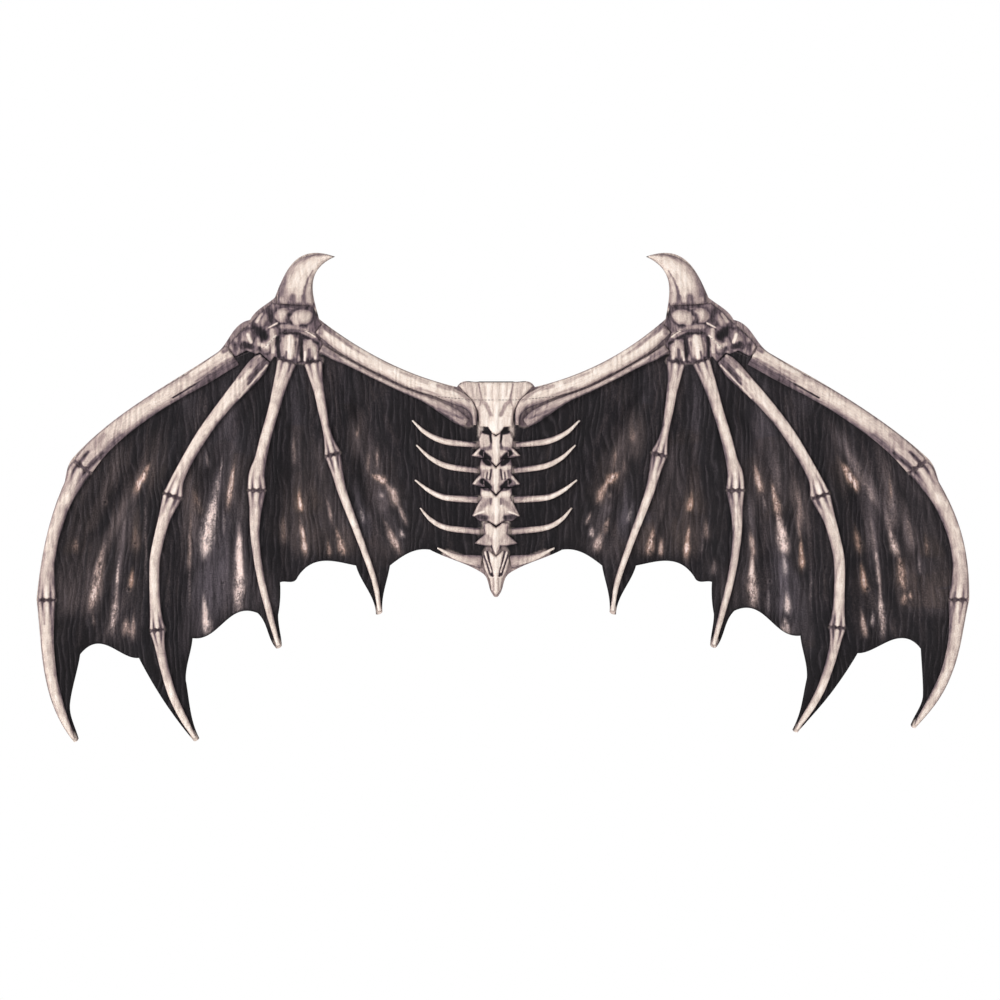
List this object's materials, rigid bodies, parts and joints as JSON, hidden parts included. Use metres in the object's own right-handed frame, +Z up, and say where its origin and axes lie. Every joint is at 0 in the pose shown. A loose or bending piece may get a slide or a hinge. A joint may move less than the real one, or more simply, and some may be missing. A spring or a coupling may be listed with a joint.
{
  "type": "costume bat wings",
  "caption": "Costume bat wings: a dark scalloped cloth panel with padded bone fingers, thumb claws, spine and ribs on its front and elastic shoulder straps behind.",
  "frame": {"origin": "on the centre line of the wings, on the cloth's back face, at the height of the upper strap ends, where the wearer's back holds the wings", "axes": "+X across the wings to the right as seen from the printed front, +Y backwards through the cloth towards the wearer, +Z up"},
  "size_m": [0.9988, 0.133, 0.525],
  "materials": {
    "printed_cloth": "crinkled matt cloth, printed dark charcoal with pale streaks, plain black behind",
    "bone_print": "matt padded cloth printed as cream bone with brown and mauve shading",
    "strap_elastic": "plain black ribbed elastic"
  },
  "bodies": {
    "root": {"cloth_panel": "printed_cloth", "left_forearm_upper": "bone_print", "left_forearm_lower": "bone_print", "left_thumb_claw": "bone_print", "left_wrist": "bone_print", "left_finger_1_base": "bone_print", "left_finger_1_middle": "bone_print", "left_finger_1_tip": "bone_print", "left_finger_2_base": "bone_print", "left_finger_2_middle": "bone_print", "left_finger_2_tip": "bone_print", "left_finger_3_base": "bone_print", "left_finger_3_tip": "bone_print", "left_finger_4_base": "bone_print", "left_finger_4_tip": "bone_print", "left_rib_1": "bone_print", "left_rib_2": "bone_print", "left_rib_3": "bone_print", "left_rib_4": "bone_print", "left_rib_5": "bone_print", "right_forearm_upper": "bone_print", "right_forearm_lower": "bone_print", "right_thumb_claw": "bone_print", "right_wrist": "bone_print", "right_finger_1_base": "bone_print", "right_finger_1_middle": "bone_print", "right_finger_1_tip": "bone_print", "right_finger_2_base": "bone_print", "right_finger_2_middle": "bone_print", "right_finger_2_tip": "bone_print", "right_finger_3_base": "bone_print", "right_finger_3_tip": "bone_print", "right_finger_4_base": "bone_print", "right_finger_4_tip": "bone_print", "right_rib_1": "bone_print", "right_rib_2": "bone_print", "right_rib_3": "bone_print", "right_rib_4": "bone_print", "right_rib_5": "bone_print", "spine_top": "bone_print", "vertebra_1": "bone_print", "vertebra_2": "bone_print", "vertebra_3": "bone_print", "vertebra_4": "bone_print", "tail_bone": "bone_print", "left_shoulder_strap": "strap_elastic", "right_shoulder_strap": "strap_elastic"}
  },
  "joints": []
}
